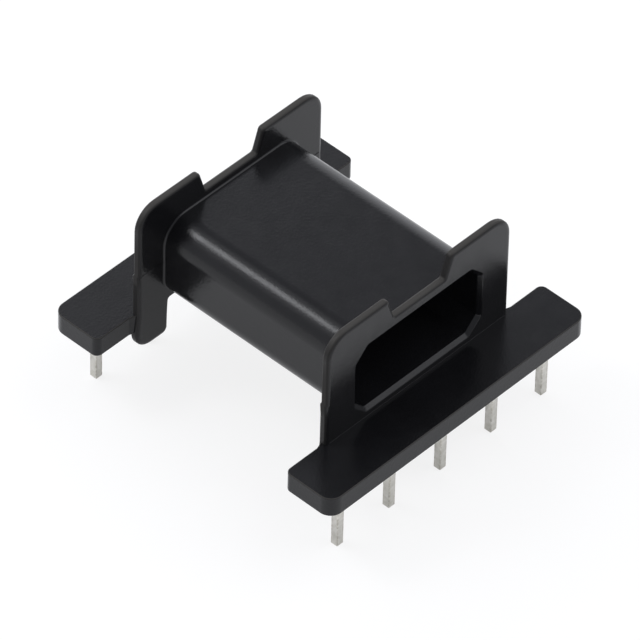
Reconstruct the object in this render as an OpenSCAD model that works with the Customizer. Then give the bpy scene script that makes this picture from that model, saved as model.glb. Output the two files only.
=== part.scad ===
// Horizontal coil former for a flat E core: one moulded body and two rows of square wire pins.
// Millimetres. +Z up, X along the pin rows, Y along the tube; Z = 0 is at the pin tips.

/* [Pins] */
// Distance between neighbouring pins in a row
pin_pitch = 5; // [4:0.25:6]
// Distance between the two pin rows
row_spacing = 22.5; // [21.5:0.25:26]
// Pins in each row
pins_per_row = 5; // [3:1:6]
// Side of the square pin wire
pin_side = 0.6; // [0.4:0.05:0.8]
// Length of pin below the feet, which goes through the board
pin_reach = 3.5; // [2.5:0.1:5]
// Bevel around the pin's tip
pin_tip_bevel = 0.08; // [0.02:0.02:0.18]
// Room between a pin and its socket, on each side
pin_room = 0.01; // [0.005:0.005:0.03]
// Plastic left over a pin's upper end
pin_cover = 0.42; // [0.2:0.02:0.6]

/* [Rails] */
// Thickness of a rail
rail_thick = 1.62; // [1.3:0.02:2.4]
// Rail beyond the last pin of a row, from that pin's middle
rail_end = 2.5; // [1.6:0.1:4]
// Rail outside a pin row, from the pins' middle
rail_outside = 1.7; // [1.2:0.1:3]
// Step from a flange's inner face back to the rail's inner edge
rail_setback = 0.4; // [0.1:0.05:0.6]
// Plan radius of the rail's outer corners
rail_outer_r = 1; // [0.4:0.1:1.4]
// Plan radius of the rail's inner corners
rail_inner_r = 0.5; // [0.3:0.05:1]
// Rounding along the rail's edges
rail_edge_r = 0.15; // [0.05:0.01:0.25]

/* [Flanges] */
// Length of tube between the flanges, which takes the wire
winding_width = 16.6; // [15:0.1:18]
// Thickness of a flange
flange_thick = 0.7; // [0.56:0.02:1.2]
// Width of a flange over its sides
flange_width = 17.6; // [17:0.1:20]
// Radius of the flange's outer corners, at the ears and the feet
flange_corner_r = 1.5; // [0.8:0.1:1.7]
// Rounding along the flange's edges
flange_edge_r = 0.27; // [0.05:0.01:0.27]
// Height of the ears over the tube
ear_rise = 2.4; // [2:0.1:5]
// Bevel on the ears' inner tips
ear_tip_bevel = 0.25; // [0.05:0.05:0.6]
// Height of the wire notch's floor over the tube
notch_rise = 0.5; // [0.3:0.05:1]
// Width of the wire notch at its floor
notch_width = 4.9; // [3:0.1:7]
// Lean of the notch's sides, in degrees
notch_lean = 17; // [2:1:20]

/* [Feet] */
// Height of the rails' underside over the feet
foot_drop = 1.62; // [1.2:0.02:3]
// Clear width between the two feet of a flange
foot_gap = 12.2; // [9:0.1:12.8]
// Radius of the feet's inner corners
foot_inner_r = 0.6; // [0.3:0.05:0.8]
// Radius of the upper corners of the gap between the feet
gap_corner_r = 0.4; // [0.1:0.05:1]
// Run of the slope that leads a wire from the tube to the rail's underside
slope_run = 1.3; // [0.9:0.05:1.5]

/* [Tube] */
// Width of the bore for the core's middle leg
bore_width = 11.8; // [10:0.1:12.4]
// Height of the bore
bore_height = 5.7; // [4:0.1:7]
// Bevel across the bore's corners
bore_bevel = 1; // [0.4:0.1:1.6]
// Lead-in bevel around the bore's mouths
bore_lead = 0.28; // [0.05:0.01:0.4]
// Wall beside the bore
side_wall = 0.6; // [0.45:0.05:1]
// Wall under the bore
floor_wall = 0.68; // [0.5:0.02:1.2]
// Wall over the bore
roof_wall = 0.5; // [0.44:0.02:1.2]
// Radius of the tube's outer corners
tube_corner_r = 2; // [0.6:0.1:2.4]

/* [Hidden] */
$fn = 48;
pin_count = 2 * pins_per_row;
rail_bottom = pin_reach + foot_drop;
rail_top = rail_bottom + rail_thick;
rail_half = (pins_per_row - 1) / 2 * pin_pitch + rail_end;
tube_bottom = rail_top;
tube_top = tube_bottom + floor_wall + bore_height + roof_wall;
tube_half = bore_width / 2 + side_wall;
tube_mid = (tube_bottom + tube_top) / 2;
bore_mid = tube_bottom + floor_wall + bore_height / 2;
ear_top = tube_top + ear_rise;
notch_floor = tube_top + notch_rise;
flange_in = winding_width / 2;
flange_out = flange_in + flange_thick;
flange_corner_x = flange_width / 2 - flange_corner_r;
rail_in = flange_in + rail_setback;
rail_out = row_spacing / 2 + rail_outside;
foot_x = foot_gap / 2;
pin_top = rail_top - pin_cover;
// Overrun of a cutter past the face that it opens
overrun = 1;

// Rounded edges of a plate

// Section of a plate's edge strip: flat at x = 0, both of its outer edges rounded at x = reach
module edge_section(reach, thick, r) {
    square([reach - r, thick]);
    translate([0, r]) square([reach, thick - 2 * r]);
    for (y = [r, thick - r]) translate([reach - r, y]) circle(r);
}

// Straight strip that faces +x and runs from y = -length to y = 0
module edge_bar(length, reach, thick, r) {
    rotate([90, 0, 0]) linear_extrude(length) edge_section(reach, thick, r);
}

// Rounded corner of a plate, from the +x direction to the +y direction
module edge_corner(reach, thick, r) {
    rotate_extrude(angle = 90) edge_section(reach, thick, r);
}

module flange_bar(length, reach) {
    edge_bar(length, reach, flange_thick, flange_edge_r);
}

module flange_corner(reach) {
    edge_corner(reach, flange_thick, flange_edge_r);
}

module rail_bar(length, reach) {
    edge_bar(length, reach, rail_thick, rail_edge_r);
}

module rail_corner(reach) {
    edge_corner(reach, rail_thick, rail_edge_r);
}

// Moulded body

module both_ends() {
    for (far = [0, 1]) mirror([0, far, 0]) children();
}

module both_sides() {
    for (left = [0, 1]) mirror([left, 0, 0]) children();
}

// Foot under the tube, right half, drawn flat with y as the height
module foot() {
    inner_x = foot_x + foot_inner_r;
    inner_y = pin_reach + foot_inner_r;
    shoulder = pin_reach + flange_corner_r;
    translate([flange_corner_x, shoulder]) rotate(-90) flange_corner(flange_corner_r);
    translate([flange_corner_x, shoulder]) rotate(-90) flange_bar(flange_corner_x - inner_x, flange_corner_r);
    translate([inner_x, inner_y]) rotate(180) flange_corner(foot_inner_r);
    translate([inner_x, inner_y]) rotate(180) flange_bar(rail_bottom - inner_y, foot_inner_r);
    translate([inner_x, shoulder])
        linear_extrude(flange_thick) square([flange_corner_x - inner_x, rail_bottom - shoulder]);
}

// Right half of a flange before its notch is cut, drawn flat with y as the height
module flange_half() {
    shoulder = ear_top - flange_corner_r;
    foot();
    translate([flange_corner_x, shoulder]) {
        flange_corner(flange_corner_r);
        flange_bar(shoulder - pin_reach - flange_corner_r, flange_corner_r);
    }
    translate([0, shoulder]) rotate(90) flange_bar(flange_corner_x, flange_corner_r);
    translate([0, rail_bottom])
        linear_extrude(flange_thick) square([flange_corner_x, shoulder - rail_bottom]);
}

// Wire notch between the ears, open at the top, with its mouth bevelled
module wire_notch() {
    tip_y = ear_top - ear_tip_bevel;
    tip_x = notch_width / 2 + (tip_y - notch_floor) * tan(notch_lean);
    mouth_x = tip_x + ear_tip_bevel + overrun;
    mouth_y = ear_top + overrun;
    translate([0, 0, -overrun]) linear_extrude(flange_thick + 2 * overrun) polygon([
        [-notch_width / 2, notch_floor], [notch_width / 2, notch_floor], [tip_x, tip_y],
        [mouth_x, mouth_y], [-mouth_x, mouth_y], [-tip_x, tip_y]]);
}

module flange() {
    translate([0, -flange_in, 0]) rotate([90, 0, 0]) difference() {
        both_sides() flange_half();
        wire_notch();
    }
}

module rail() {
    end_length = rail_out - rail_outer_r - rail_in - rail_inner_r;
    translate([0, 0, rail_bottom]) mirror([0, 1, 0]) {
        both_sides() {
            translate([rail_half - rail_outer_r, rail_out - rail_outer_r]) {
                rail_corner(rail_outer_r);
                rail_bar(end_length, rail_outer_r);
            }
            translate([rail_half - rail_inner_r, rail_in + rail_inner_r])
                rotate(-90) rail_corner(rail_inner_r);
        }
        translate([rail_outer_r - rail_half, rail_out - rail_outer_r])
            rotate(90) rail_bar(2 * (rail_half - rail_outer_r), rail_outer_r);
        translate([rail_half - rail_inner_r, rail_in + rail_inner_r])
            rotate(-90) rail_bar(2 * (rail_half - rail_inner_r), rail_inner_r);
        translate([rail_outer_r - rail_half, rail_in + rail_inner_r])
            linear_extrude(rail_thick) square([2 * (rail_half - rail_outer_r), end_length]);
    }
}

module tube() {
    reach = tube_half - tube_corner_r;
    rise = tube_top - tube_bottom - 2 * tube_corner_r;
    length = winding_width + flange_thick;
    translate([0, length / 2, tube_mid]) rotate([90, 0, 0]) linear_extrude(length) {
        square([2 * tube_half, rise], center = true);
        square([2 * reach, tube_top - tube_bottom], center = true);
        for (x = [-reach, reach], y = [-rise / 2, rise / 2]) translate([x, y]) circle(tube_corner_r);
    }
}

// Bevelled opening for the core's middle leg, through the tube and both flanges
module core_bore() {
    x = bore_width / 2;
    y = bore_height / 2;
    b = bore_bevel;
    length = 2 * (flange_out + overrun);
    translate([0, length / 2, bore_mid]) rotate([90, 0, 0]) linear_extrude(length) polygon([
        [x, b - y], [x, y - b], [x - b, y], [b - x, y],
        [-x, y - b], [-x, b - y], [b - x, -y], [x - b, -y]]);
}

// Slab across the bore's axis that widens by the lead-in towards the near mouth
module lead_slab(half, turn) {
    width = 2 * (bore_width + bore_height);
    translate([0, -flange_out, bore_mid]) rotate([0, turn, 0]) rotate([90, 0, 90])
        linear_extrude(width, center = true) polygon([
            [bore_lead, half], [-bore_lead, half + 2 * bore_lead],
            [-bore_lead, -half - 2 * bore_lead], [bore_lead, -half]]);
}

module bore_mouth() {
    bevel_half = (bore_width / 2 + bore_height / 2 - bore_bevel) / sqrt(2);
    intersection() {
        lead_slab(bore_height / 2, 0);
        lead_slab(bore_width / 2, 90);
        lead_slab(bevel_half, 45);
        lead_slab(bevel_half, -45);
    }
}

// Gap between the feet, closed above by the slope that the wires run over
module wire_gap() {
    low = pin_reach - overrun;
    run_end = slope_run * (1 + overrun / rail_thick);
    intersection() {
        translate([-foot_x - overrun, -flange_in, 0]) rotate([90, 0, 90])
            linear_extrude(foot_gap + 2 * overrun) polygon([
                [0, rail_top], [-run_end, rail_bottom - overrun], [-run_end, low],
                [overrun, low], [overrun, rail_bottom]]);
        translate([0, -flange_in + 2 * overrun, 0]) rotate([90, 0, 0])
            linear_extrude(2 * (slope_run + 2 * overrun)) {
                translate([-foot_x, low]) square([foot_gap, rail_top - gap_corner_r - low]);
                translate([gap_corner_r - foot_x, low])
                    square([foot_gap - 2 * gap_corner_r, rail_top + gap_corner_r - low]);
                for (x = [gap_corner_r - foot_x, foot_x - gap_corner_r])
                    translate([x, rail_top - gap_corner_r]) circle(gap_corner_r);
            }
    }
}

// Pins are numbered along the near row and back along the far row
module at_pin(number) {
    near = number <= pins_per_row;
    place = near ? number - 1 : pin_count - number;
    x = (place - (pins_per_row - 1) / 2) * pin_pitch;
    y = (near ? -1 : 1) * row_spacing / 2;
    translate([x, y, 0]) children();
}

module pin_socket() {
    side = pin_side + 2 * pin_room;
    translate([-side / 2, -side / 2, pin_reach]) cube([side, side, pin_top + pin_room - pin_reach]);
}

module bobbin_body() {
    color("#2a2a2d") difference() {
        union() {
            tube();
            both_ends() {
                flange();
                rail();
            }
        }
        core_bore();
        both_ends() {
            bore_mouth();
            wire_gap();
        }
        for (i = [1:pin_count]) at_pin(i) pin_socket();
    }
}

// Square wire pin with a bevelled tip
module pin(number) {
    half = pin_side / 2;
    tip = half - pin_tip_bevel;
    side_view = [
        [-tip, 0], [tip, 0], [half, pin_tip_bevel],
        [half, pin_top], [-half, pin_top], [-half, pin_tip_bevel]];
    color("#c4c2ba") at_pin(number) intersection_for (turn = [0, 90])
        rotate([90, 0, turn]) linear_extrude(pin_side, center = true) polygon(side_view);
}

bobbin_body();
for (i = [1:pin_count]) pin(i);
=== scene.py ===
import math

import bpy
from mathutils import Matrix, Vector
from mathutils.geometry import tessellate_polygon


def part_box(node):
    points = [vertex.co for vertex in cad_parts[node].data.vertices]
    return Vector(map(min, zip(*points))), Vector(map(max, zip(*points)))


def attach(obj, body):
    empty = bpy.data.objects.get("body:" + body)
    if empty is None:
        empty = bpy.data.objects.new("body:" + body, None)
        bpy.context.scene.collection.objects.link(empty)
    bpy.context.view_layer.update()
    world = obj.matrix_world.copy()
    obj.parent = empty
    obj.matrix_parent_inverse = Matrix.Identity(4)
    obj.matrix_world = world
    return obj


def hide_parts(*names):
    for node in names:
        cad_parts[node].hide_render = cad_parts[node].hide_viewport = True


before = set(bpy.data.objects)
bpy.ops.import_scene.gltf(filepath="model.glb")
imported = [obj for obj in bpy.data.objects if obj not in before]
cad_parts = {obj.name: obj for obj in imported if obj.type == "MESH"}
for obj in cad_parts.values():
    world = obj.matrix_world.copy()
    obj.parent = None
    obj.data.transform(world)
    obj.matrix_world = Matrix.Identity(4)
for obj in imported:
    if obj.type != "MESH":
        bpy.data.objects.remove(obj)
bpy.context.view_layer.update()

# Tube and flanges
# The former itself: a flat tube with an open bore between two thin flanges, injection moulded in
# glossy black plastic in one shot with the rails. Each flange has two ears, a wire notch and two feet.
MM = 0.001
body_low, body_high = (Vector(corner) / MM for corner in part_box("bobbin_body"))
foot_bottom = body_low.z
ear_top = body_high.z
flange_in = 8.3
flange_out = 9.0
flange_half = 8.82
flange_edge = 0.22
flange_edge_run = 1.5
face_draft = 0.03
ear_corner_r = 1.8
ear_tip_r = 0.35
notch_floor = 14.12
notch_half = 2.45
notch_lean = math.radians(17)
notch_top_half = notch_half + (ear_top - notch_floor) * math.tan(notch_lean)
notch_corner_r = 0.2
notch_edge_share = 0.7
foot_half = 9.22
foot_outer_r = 1.4
foot_inside = 6.05
foot_inside_r = 0.5
gap_half = 6.15
gap_top = 6.69
gap_corner_r = 0.25
split_level = 10.3
split_room = 0.03
split_half = 8.95
split_fade = 1
lower_half = 8.9
tube_half = 6.5
tube_low = 6.74
tube_high = 13.62
tube_corner_r = 2.0
tube_root_r = 0.16
bore_half = 5.9
bore_low = 7.42
bore_high = 13.12
bore_bevel = 1.0
bore_bevel_r = 0.15
bore_lip = 0.28
bore_lip_soft = 0.04
# Matt share on upright rim sides, and the normal heights over which the painted top light ramps up to full
# on the rims' tops.
shaded_side_matt = 0.4
shaded_side_z = 0.3
lit_top_z = 0.8
matt_fade = 0.25

points = []
normals = []
matt_and_top_light = []
faces = []


def rounded(corners, steps):
    """Points, outward normals and edge shares round anticlockwise (u, v, radius, share) corners."""
    outline = []
    for i, corner in enumerate(corners):
        u, v, radius, share = (*corner, 1)[:4]
        here = Vector((u, v))
        before = (here - Vector(corners[i - 1][:2])).normalized()
        after = (Vector(corners[(i + 1) % len(corners)][:2]) - here).normalized()
        turn = math.atan2(before.x * after.y - before.y * after.x, before.dot(after))
        outward = Vector((before.y, -before.x))
        if radius == 0:
            normal = Matrix.Rotation(turn / 2, 2) @ outward
            outline.append((u, v, normal.x, normal.y, share))
            continue
        bulge = math.copysign(radius, turn)
        centre = here - before * radius * math.tan(abs(turn) / 2) - outward * bulge
        for k in range(steps + 1):
            normal = Matrix.Rotation(turn * k / steps, 2) @ outward
            point = centre + normal * bulge
            outline.append((point.x, point.y, normal.x, normal.y, share))
    return outline


def mirrored(corners):
    """The same corners on the other side, still anticlockwise."""
    return [(-u, *rest) for u, *rest in reversed(corners)]


def round_edge(radius, flare=1, steps=5, run=1):
    """Rows (inset, rise, tilt) from a flat face round to the side, or up a fillet if flare is -1."""
    rows = []
    for k in range(steps + 1):
        angle = math.pi / 2 * k / steps
        inset = flare * radius * run * (1 - math.sin(angle))
        tilt = -flare * math.atan2(run * math.cos(angle), math.sin(angle))
        rows.append((inset, radius * (1 - math.cos(angle)), tilt))
    return rows


def bevel_edge(size, soft):
    """Rows (inset, rise, tilt) from a flat face down a flat bevel with softened edges."""
    slant = math.pi / 4
    sag = 0.2 * soft
    return [
        (size + soft, 0, -2 * slant),
        (size + sag, sag, -1.5 * slant),
        (size - soft, soft, -slant),
        (soft, size - soft, -slant),
        (sag, size + sag, -0.5 * slant),
        (0, size + soft, 0),
    ]


def wall(outline, place, low, high, edge, between=(), edge_matt=0, side_matt=0):
    """Loops up the side of a form from low to high, with the edge's rows at both ends."""
    rows = [(inset, low + rise, tilt) for inset, rise, tilt in edge]
    rows += [(0, level, 0) for level in between]
    rows += [(inset, high - rise, -tilt) for inset, rise, tilt in reversed(edge)]
    loops = []
    for inset, level, tilt in rows:
        on_face = math.cos(tilt) < 0.01
        on_side = abs(math.sin(tilt)) < 0.01
        matt = 0 if on_face else side_matt if on_side else edge_matt
        first = len(points)
        for u, v, nu, nv, share in outline:
            points.append(place @ Vector((u - nu * inset * share, v - nv * inset * share, level)))
            normals.append(place @ Vector((nu * math.cos(tilt), nv * math.cos(tilt), math.sin(tilt))))
            matt_and_top_light.append(matt)
        loops.append(range(first, len(points)))
    for a, b in zip(loops, loops[1:]):
        faces.extend((a[i - 1], a[i], b[i], b[i - 1]) for i in range(len(a)))
    return loops


def flat_face(loop, hole=()):
    """Fills a flat loop, leaving the hole open."""
    lines = [[points[i] for i in part] for part in (loop, hole) if part]
    index = [*loop, *hole]
    faces.extend(tuple(index[i] for i in triangle) for triangle in tessellate_polygon(lines))


foot = [
    (foot_inside, foot_bottom, foot_inside_r, 1),
    (foot_half, foot_bottom, foot_outer_r, 1),
]
ear = [
    (flange_half, ear_top, ear_corner_r, 1),
    (notch_top_half, ear_top, ear_tip_r, 1),
    (notch_half, notch_floor, notch_corner_r, notch_edge_share),
]
waist = [(flange_half, tube_low, 0, 1)]
split_step = [
    (-flange_half, split_level + split_room, 0, 1),
    (-split_half, split_level - split_room, 0, 1),
    (-lower_half, split_level - split_fade, 0, 1),
    (-lower_half, tube_low, 0, 1),
]
gap_corners = [
    (-gap_half, gap_top, gap_corner_r, 0),
    (gap_half, gap_top, gap_corner_r, 0),
]
flange_outline = rounded(
    foot + waist + ear + mirrored(ear) + split_step + mirrored(foot) + gap_corners, steps=8
)
tube_right = [
    (tube_half, tube_low, tube_corner_r),
    (tube_half, tube_high, tube_corner_r),
]
tube_outline = [
    (u, v, nu, nv, min(1, 1 + nv))
    for u, v, nu, nv, share in rounded(tube_right + mirrored(tube_right), steps=16)
]
bore_right = [
    (bore_half - bore_bevel, bore_low, bore_bevel_r),
    (bore_half, bore_low + bore_bevel, bore_bevel_r),
    (bore_half, bore_high - bore_bevel, bore_bevel_r),
    (bore_half - bore_bevel, bore_high, bore_bevel_r),
]
bore_outline = [
    (u, v, -nu, -nv, share)
    for u, v, nu, nv, share in rounded(bore_right + mirrored(bore_right), steps=4)
]

upright = Matrix(((1, 0, 0), (0, 0, 1), (0, 1, 0)))
rim_edge = round_edge(flange_edge, steps=8, run=flange_edge_run)
lip_edge = bevel_edge(bore_lip, bore_lip_soft)
root_edge = round_edge(tube_root_r, flare=-1)
near_rim = wall(flange_outline, upright, -flange_out, -flange_in, rim_edge, edge_matt=1, side_matt=1)
far_rim = wall(flange_outline, upright, flange_in, flange_out, rim_edge, edge_matt=1, side_matt=1)
bore_wall = wall(bore_outline, upright, -flange_out, flange_out, lip_edge)
tube_wall = wall(tube_outline, upright, -flange_in, flange_in, root_edge)
# The rims leave the mould matt, fading into the glossy faces; their paler colour is painted light, full on
# top and less on upright sides.
for i in (i for loop in near_rim + far_rim for i in loop):
    lying = min(1, max(0, (normals[i].z - shaded_side_z) / (lit_top_z - shaded_side_z)))
    matt_and_top_light[i] *= shaded_side_matt + (1 - shaded_side_matt) * lying
    matt_and_top_light[i] *= min(1, (1 - abs(normals[i].y)) / matt_fade)
# Each flange thins towards its ears by the mould's draft.
for point in points:
    rise = max(0, point.z - tube_low) / (ear_top - tube_low)
    middle = math.copysign((flange_in + flange_out) / 2, point.y)
    point.y += math.copysign(face_draft * rise, middle - point.y)
flat_face(near_rim[0], bore_wall[0])
flat_face(near_rim[-1], tube_wall[0])
flat_face(far_rim[0], tube_wall[-1])
flat_face(far_rim[-1], bore_wall[-1])

# Pin rails
# A thick bar along the foot of each flange, part of the same moulding. Between the feet its inner side
# slopes to lead the wires out, a small fillet roots the flange, and the mould's split leaves a fine line.
rail_end = body_high.x
rail_out = body_high.y
rail_in = 8.7
rail_low = 5.12
rail_top = 6.74
rail_edge = 0.08
rail_outer_r = 1.0
rail_inner_r = 0.5
bend_from = 9.42
bend_to = 8.8
bend_in = 8.5
bend_r = 0.25
slope_in = 8.36
slope_out = 9.6
slope_slit = 0.01
flat_z = 0.99
root_r = 0.03
root_sunk = 0.005
root_back = 0.1
ridge_high = 0.03
ridge_half = 0.05
trim_lap = 0.05
trim_corner_r = 0.01
trim_edge = 0.005
trim_short = 0.3

slope_step = (slope_out - slope_in) / (rail_top - rail_low)
slope_meets_rail = rail_top - (rail_in - slope_in) / slope_step
slope_normal = Vector((0, -1, -slope_step)).normalized()
rail_right = [
    (gap_half - slope_slit, rail_in, 0),
    (gap_half + slope_slit, rail_in, 0),
    (bend_to, bend_in, 0),
    (bend_from, rail_in, bend_r),
    (rail_end, rail_in, rail_inner_r),
    (rail_end, rail_out, rail_outer_r),
]
rail_outline = rounded(rail_right + mirrored(rail_right), steps=10)
root_outline = rounded([
    (flange_out - root_back, rail_top - root_back, trim_corner_r),
    (flange_out + root_r + trim_lap, rail_top - root_back, trim_corner_r),
    (flange_out + root_r + trim_lap, rail_top - root_sunk, trim_corner_r),
    (flange_out - root_sunk, rail_top - root_sunk, root_r),
    (flange_out - root_sunk, rail_top + root_r + trim_lap, trim_corner_r),
    (flange_out - root_back, rail_top + root_r + trim_lap, trim_corner_r),
], steps=5)
ridge_outline = rounded([
    (flange_in - ridge_high, split_level - ridge_half / 2, ridge_high / 2),
    (flange_in + trim_lap, split_level - ridge_half, trim_corner_r),
    (flange_in + trim_lap, split_level + ridge_half, trim_corner_r),
    (flange_in - ridge_high, split_level + ridge_half / 2, ridge_high / 2),
], steps=3)


def trim(outline, place, low, high):
    """A thin bar of that section, with both ends closed."""
    loops = wall(outline, place, low, high, round_edge(trim_edge))
    flat_face(loops[0])
    flat_face(loops[-1])


bar_edge = round_edge(rail_edge, steps=4)
trim_end = flange_half - trim_short
for side in (-1, 1):
    lying = Matrix.Diagonal((1, side, 1))
    across = Matrix(((0, 0, 1), (side, 0, 0), (0, 1, 0)))
    rail = wall(rail_outline, lying, rail_low, rail_top, bar_edge, [slope_meets_rail], edge_matt=1)
    # Between the feet the rail's inner side becomes the slope.
    for i in (i for loop in rail for i in loop):
        if abs(points[i].x) < gap_half:
            points[i].y = side * (slope_in + (rail_top - points[i].z) * slope_step)
            if abs(normals[i].z) < flat_z:
                normals[i] = lying @ slope_normal
    faces += [tuple(rail[0]), tuple(rail[-1])]
    trim(root_outline, across, -trim_end, trim_end)
    trim(ridge_outline, across, -trim_end, -tube_half)
    trim(ridge_outline, across, tube_half, trim_end)


def nodes_of(name):
    """A new material with its nodes and links, ready to be wired to its shader."""
    material = bpy.data.materials.new(name)
    material.use_nodes = True
    tree = material.node_tree
    return material, tree.nodes, tree.links, tree.nodes["Principled BSDF"]


def noise(nodes, links, vector, scale, detail):
    """A noise texture over the object's own coordinates."""
    node = nodes.new("ShaderNodeTexNoise")
    node.inputs["Scale"].default_value = scale
    node.inputs["Detail"].default_value = detail
    links.new(vector, node.inputs["Vector"])
    return node.outputs["Fac"]


def spread(nodes, links, value, low, high, start=0.3, stop=0.7):
    """Maps the middle of a texture's range to low and high."""
    node = nodes.new("ShaderNodeMapRange")
    node.inputs["From Min"].default_value = start
    node.inputs["From Max"].default_value = stop
    node.inputs["To Min"].default_value = low
    node.inputs["To Max"].default_value = high
    links.new(value, node.inputs["Value"])
    return node.outputs["Result"]


def arithmetic(nodes, links, operation, first, second):
    """The sum, product or lesser of two values."""
    node = nodes.new("ShaderNodeMath")
    node.operation = operation
    links.new(first, node.inputs[0])
    links.new(second, node.inputs[1])
    return node.outputs["Value"]


def blend_colours(nodes, links, value, first, second):
    """A colour between a first one, fixed or from a socket, and a fixed second, by a value from 0 to 1."""
    node = nodes.new("ShaderNodeMix")
    node.data_type = "RGBA"
    links.new(value, node.inputs["Factor"])
    if isinstance(first, bpy.types.NodeSocket):
        links.new(first, node.inputs[6])
    else:
        node.inputs[6].default_value = (*first, 1)
    node.inputs[7].default_value = (*second, 1)
    return node.outputs[2]


def rough_up(nodes, links, height, shader, strength, distance=0.02 * MM):
    """Bumps the shader's surface by a height."""
    bump = nodes.new("ShaderNodeBump")
    bump.inputs["Strength"].default_value = strength
    bump.inputs["Distance"].default_value = distance
    links.new(height, bump.inputs["Height"])
    links.new(bump.outputs["Normal"], shader.inputs["Normal"])


gloss_dark = (0.0068, 0.0068, 0.0076)
gloss_pale = (0.0088, 0.0088, 0.0098)
gloss_rough = (0.16, 0.22)
gloss_specular = 0.5
# Paler colour of the matt rims: partly their rougher skin, partly painted light that is strongest on their
# tops.
matt_skin_and_top_light = (0.049, 0.0465, 0.043)
matt_rough = 0.25
matt_specular = 0.2
matt_full = 0.5
plastic_ior = 1.38
flow_scale = 350
smear_scale = 900
grain_scale = 7000
grain_strength = 0.5
plastic, nodes, links, shader = nodes_of("black_plastic")
coords = nodes.new("ShaderNodeTexCoord").outputs["Object"]
matt_edges_and_top_light = nodes.new("ShaderNodeAttribute")
matt_edges_and_top_light.attribute_name = "matt"
matt = matt_edges_and_top_light.outputs["Fac"]
flow = spread(nodes, links, noise(nodes, links, coords, flow_scale, 3), 0, 1)
gloss = blend_colours(nodes, links, flow, gloss_dark, gloss_pale)
# The rims blend towards the paler matt colour, with painted light making their tops lighter than their
# upright sides.
links.new(blend_colours(nodes, links, matt, gloss, matt_skin_and_top_light), shader.inputs["Base Color"])
skin_rough = spread(nodes, links, noise(nodes, links, coords, smear_scale, 4), *gloss_rough)
edge_rough = spread(nodes, links, matt, 0, matt_rough, 0, matt_full)
links.new(arithmetic(nodes, links, "ADD", skin_rough, edge_rough), shader.inputs["Roughness"])
specular = spread(nodes, links, matt, gloss_specular, matt_specular, 0, matt_full)
links.new(specular, shader.inputs["Specular IOR Level"])
shader.inputs["IOR"].default_value = plastic_ior
rough_up(nodes, links, noise(nodes, links, coords, grain_scale, 3), shader, grain_strength)

# A corner keeps its own normal, unless that leans too far from its face.
smooth_turn = 0.8
turned_faces = []
corner_normals = []
for face in faces:
    corner = points[face[0]]
    facing = Vector()
    for a, b in zip(face[1:], face[2:]):
        facing += (points[a] - corner).cross(points[b] - corner)
    if facing.dot(sum((normals[i] for i in face), Vector())) < 0:
        face = face[::-1]
        facing = -facing
    facing.normalize()
    turned_faces.append(face)
    for i in face:
        corner_normals.append(normals[i] if normals[i].dot(facing) > smooth_turn else facing)
body_mesh = bpy.data.meshes.new("moulded_body")
body_mesh.from_pydata([point * MM for point in points], [], turned_faces)
body_mesh.shade_smooth()
body_mesh.normals_split_custom_set(corner_normals)
body_mesh.attributes.new("matt", "FLOAT", "POINT").data.foreach_set("value", matt_and_top_light)
body_mesh.materials.append(plastic)
body = bpy.data.objects.new("moulded_body", body_mesh)
bpy.context.scene.collection.objects.link(body)
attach(body, "root")
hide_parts("bobbin_body")

# Pins
# Ten lengths of square tinned wire in two rows, their cut ends slightly bevelled, pressed from below
# into the rails. The tin is dull, with drawn lines along the wire and small brown specks on its edges.
pin_names = [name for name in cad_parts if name.startswith("pin_")]
pin_boxes = [[Vector(corner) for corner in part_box(name)] for name in pin_names]
pin_low, pin_high = pin_boxes[0]
pin_side = pin_high.x - pin_low.x
pin_xs = sorted({round((low.x + high.x) / 2, 6) for low, high in pin_boxes})
pin_ys = sorted({round((low.y + high.y) / 2, 6) for low, high in pin_boxes})
pin_pitch = pin_xs[1] - pin_xs[0]
pin_edge_r = 0.05 * MM
pin_tip_bevel = 0.08 * MM

tin_dull = (0.76, 0.74, 0.66)
tin_bright = (0.94, 0.92, 0.86)
tin_brown = (0.52, 0.49, 0.41)
tin_rough = (0.34, 0.5)
tin_metal = 0.7
drawn_scale = 9000
drawn_stretch = 0.12
drawn_strength = 0.3
cloud_scale = 2600
speck_scale = 3800
speck_range = (0.4, 0.66)
speck_band = (0.25 * pin_side, 0.48 * pin_side)
tin, nodes, links, shader = nodes_of("dull_tin")
coords = nodes.new("ShaderNodeTexCoord").outputs["Object"]
stretch = nodes.new("ShaderNodeMapping")
stretch.inputs["Scale"].default_value = (1, 1, drawn_stretch)
links.new(coords, stretch.inputs["Vector"])
drawn = noise(nodes, links, stretch.outputs["Vector"], drawn_scale, 3)
cloudy = spread(nodes, links, noise(nodes, links, coords, cloud_scale, 4), 0, 1)
tone = blend_colours(nodes, links, cloudy, tin_dull, tin_bright)
# How far a point lies sideways from the middle of its own pin.
from_middle = coords
for operation, *limits in (
    ("ABSOLUTE",),
    ("SUBTRACT", (0, pin_ys[-1], 0)),
    ("WRAP", (pin_pitch / 2, 1, 1), (-pin_pitch / 2, -1, -1)),
    ("ABSOLUTE",),
):
    step = nodes.new("ShaderNodeVectorMath")
    step.operation = operation
    links.new(from_middle, step.inputs[0])
    for socket, limit in zip(step.inputs[1:], limits):
        socket.default_value = limit
    from_middle = step.outputs["Vector"]
parts = nodes.new("ShaderNodeSeparateXYZ")
links.new(from_middle, parts.inputs["Vector"])
lesser = arithmetic(nodes, links, "MINIMUM", parts.outputs["X"], parts.outputs["Y"])
edges = spread(nodes, links, lesser, 0, 1, *speck_band)
specks = spread(nodes, links, noise(nodes, links, coords, speck_scale, 3), 0, 1, *speck_range)
rubbed = arithmetic(nodes, links, "MULTIPLY", edges, specks)
links.new(blend_colours(nodes, links, rubbed, tone, tin_brown), shader.inputs["Base Color"])
links.new(spread(nodes, links, drawn, *tin_rough), shader.inputs["Roughness"])
shader.inputs["Metallic"].default_value = tin_metal
rough_up(nodes, links, drawn, shader, drawn_strength)

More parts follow.
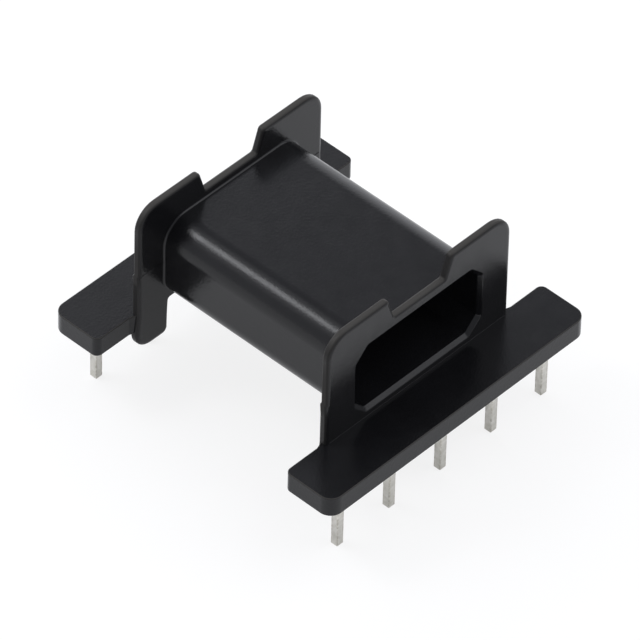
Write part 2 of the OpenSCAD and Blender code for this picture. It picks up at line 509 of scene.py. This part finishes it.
pin_sizes = {
    "Row pins": ("NodeSocketInt", len(pin_xs)),
    "Rows": ("NodeSocketInt", len(pin_ys)),
    "Row length": ("NodeSocketFloat", pin_xs[-1] - pin_xs[0]),
    "Row spacing": ("NodeSocketFloat", pin_ys[-1] - pin_ys[0]),
    "Pin side": ("NodeSocketFloat", pin_side),
    "Pin length": ("NodeSocketFloat", pin_high.z - pin_low.z),
    "Edge radius": ("NodeSocketFloat", pin_edge_r),
    "Tip bevel": ("NodeSocketFloat", pin_tip_bevel),
    "Tip share": ("NodeSocketFloat", 1 - 2 * pin_tip_bevel / pin_side),
}
pin_tree = bpy.data.node_groups.new("pin_grid", "GeometryNodeTree")
pin_inputs = {}
for label, (kind, value) in pin_sizes.items():
    socket = pin_tree.interface.new_socket(label, in_out="INPUT", socket_type=kind)
    pin_inputs[socket.identifier] = value
pin_tree.interface.new_socket("Geometry", in_out="OUTPUT", socket_type="NodeSocketGeometry")


def add(kind, settings=(), **wired):
    """A node of the pins' tree with its settings, and its inputs wired to sockets or set to values."""
    node = pin_tree.nodes.new(kind)
    for name, value in settings:
        setattr(node, name, value)
    for label, value in wired.items():
        spaced = label.replace("_", " ").strip()
        target = next(s for s in node.inputs if s.name == spaced and s.enabled)
        if isinstance(value, bpy.types.NodeSocket):
            pin_tree.links.new(value, target)
        else:
            target.default_value = value
    return node.outputs


given = add("NodeGroupInput")
grid = add(
    "GeometryNodeMeshGrid",
    Size_X=given["Row length"],
    Size_Y=given["Row spacing"],
    Vertices_X=given["Row pins"],
    Vertices_Y=given["Rows"],
)
square = add(
    "GeometryNodeCurvePrimitiveQuadrilateral",
    Width=given["Pin side"],
    Height=given["Pin side"],
)
section = add(
    "GeometryNodeFilletCurve",
    [("mode", "POLY")],
    Curve=square["Curve"],
    Radius=given["Edge radius"],
    Count=3,
)
top_end = add("ShaderNodeCombineXYZ", Z=given["Pin length"])
axis = add("GeometryNodeCurvePrimitiveLine", End=top_end["Vector"])
axis_points = add("GeometryNodeResampleCurve", Curve=axis["Curve"], Count=3)
index = add("GeometryNodeInputIndex")
same = [("data_type", "INT"), ("operation", "EQUAL")]
is_tip = add("FunctionNodeCompare", same, A=index["Index"], B=0)
is_second = add("FunctionNodeCompare", same, A=index["Index"], B=1)
bevel_end = add("ShaderNodeCombineXYZ", Z=given["Tip bevel"])
axis_set = add(
    "GeometryNodeSetPosition",
    Geometry=axis_points["Curve"],
    Selection=is_second["Result"],
    Position=bevel_end["Vector"],
)
taper = add(
    "GeometryNodeSwitch",
    [("input_type", "FLOAT")],
    Switch=is_tip["Result"],
    False_=1.0,
    True_=given["Tip share"],
)
swept = add(
    "GeometryNodeCurveToMesh",
    Curve=axis_set["Geometry"],
    Profile_Curve=section["Curve"],
    Fill_Caps=True,
    Scale=taper["Output"],
)
copies = add("GeometryNodeInstanceOnPoints", Points=grid["Mesh"], Instance=swept["Mesh"])
real = add("GeometryNodeRealizeInstances", Geometry=copies["Instances"])
coated = add("GeometryNodeSetMaterial", Geometry=real["Geometry"], Material=tin)
add("NodeGroupOutput", Geometry=coated["Geometry"])

pins_seed = bpy.data.objects.new("pins_seed", bpy.data.meshes.new("pins_seed"))
bpy.context.scene.collection.objects.link(pins_seed)
pin_maker = pins_seed.modifiers.new("pin_grid", "NODES")
pin_maker.node_group = pin_tree
for identifier, value in pin_inputs.items():
    pin_maker[identifier] = value
bpy.context.view_layer.update()
graph = bpy.context.evaluated_depsgraph_get()
pins_mesh = bpy.data.meshes.new_from_object(pins_seed.evaluated_get(graph))
pins_mesh.name = "pins"
pins_seed.modifiers.remove(pin_maker)
bpy.data.objects.remove(pins_seed)
pins = bpy.data.objects.new("pins", pins_mesh)
bpy.context.scene.collection.objects.link(pins)
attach(pins, "root")
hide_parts(*pin_names)

# Floor
# A plain white table, far wider than the picture. It shows white to the camera and in reflections, and
# keeps the part's soft shadow.
floor_half = 1.5
floor_grey = 0.5
floor_corners = [(-1, -1), (1, -1), (1, 1), (-1, 1)]
floor_mesh = bpy.data.meshes.new("floor")
floor_mesh.from_pydata([(x * floor_half, y * floor_half, 0) for x, y in floor_corners], [], [(0, 1, 2, 3)])
floor = bpy.data.objects.new("floor", floor_mesh)
bpy.context.scene.collection.objects.link(floor)
floor_paint = bpy.data.materials.new("white_table")
floor_paint.use_nodes = True
nodes = floor_paint.node_tree.nodes
links = floor_paint.node_tree.links
nodes.clear()
path = nodes.new("ShaderNodeLightPath")
bounced = nodes.new("ShaderNodeBsdfDiffuse")
bounced.inputs["Color"].default_value = (floor_grey, floor_grey, floor_grey, 1)
surface = bounced.outputs["BSDF"]
for ray, grey, strength in (
    ("Is Glossy Ray", 0.65, 0.35),
    ("Is Transmission Ray", 0.65, 0.35),
    ("Is Camera Ray", 0.22, 0.8),
):
    paint = nodes.new("ShaderNodeBsdfDiffuse")
    paint.inputs["Color"].default_value = (grey, grey, grey, 1)
    glow = nodes.new("ShaderNodeEmission")
    glow.inputs["Strength"].default_value = strength
    both = nodes.new("ShaderNodeAddShader")
    links.new(paint.outputs["BSDF"], both.inputs[0])
    links.new(glow.outputs["Emission"], both.inputs[1])
    choose = nodes.new("ShaderNodeMixShader")
    links.new(path.outputs[ray], choose.inputs["Fac"])
    links.new(surface, choose.inputs[1])
    links.new(both.outputs["Shader"], choose.inputs[2])
    surface = choose.outputs["Shader"]
out = nodes.new("ShaderNodeOutputMaterial")
links.new(surface, out.inputs["Surface"])
floor_mesh.materials.append(floor_paint)

# Light
# A pale room with soft boxes: one with a bright middle behind on the left that draws the streak along
# the tube, one in front on the right over the flanges' faces, and bright walls behind and on the left.
lamp_tint = (0.96, 0.97, 1)
world = bpy.data.worlds.new("pale_room")
bpy.context.scene.world = world
world.use_nodes = True
room = world.node_tree.nodes["Background"]
room.inputs["Color"].default_value = (0.9, 0.92, 1, 1)
room.inputs["Strength"].default_value = 0.54
for name, place, target, size, radiance in (
    ("streak_box", (-90, 121, 199), (0, 0, 0), (62, 62), 7.2),
    ("streak_halo", (-90, 121, 199), (0, 0, 0), (175, 175), 0.7),
    ("front_box", (132, -90, 192), (0, 0, 0), (250, 250), 1.2),
    ("back_wall", (150, 160, 100), (150, 0, 100), (600, 200), 1.0),
    ("left_wall", (-212, 125, 65), (0, 0, 10), (300, 175), 0.25),
):
    lamp = bpy.data.lights.new(name, "AREA")
    lamp.shape = "RECTANGLE"
    lamp.size, lamp.size_y = (side * MM for side in size)
    lamp.energy = radiance * math.pi * lamp.size * lamp.size_y
    lamp.color = lamp_tint
    holder = bpy.data.objects.new(name, lamp)
    holder.location = Vector(place) * MM
    holder.rotation_euler = (Vector(place) - Vector(target)).to_track_quat("Z", "Y").to_euler()
    bpy.context.scene.collection.objects.link(holder)

# Camera
# A long lens from the front left and above, placed by a fit of the part's edges. The shift moves the
# whole camera sideways and up, so the lens itself isn't shifted.
turn, rise, roll = (math.radians(angle) for angle in (-47.3625, 44.2819, 1.4268))
distance = 568.617 * MM
shift_right = 0.1186 * MM
shift_up = 4.3082 * MM
back = Vector((math.sin(turn) * math.cos(rise), -math.cos(turn) * math.cos(rise), math.sin(rise)))
level = Vector((math.cos(turn), math.sin(turn), 0))
above = back.cross(level)
right = level * math.cos(roll) + above * math.sin(roll)
up = above * math.cos(roll) - level * math.sin(roll)
camera = bpy.data.objects.new("camera", bpy.data.cameras.new("camera"))
camera.data.sensor_width = 36
camera.data.lens = 472.404
camera.data.clip_start = 0.05
placed = Matrix((right, up, back)).transposed().to_4x4()
placed.translation = right * shift_right + up * shift_up + back * distance
camera.matrix_world = placed
bpy.context.scene.collection.objects.link(camera)
bpy.context.scene.camera = camera
bpy.context.scene.view_settings.view_transform = "Standard"
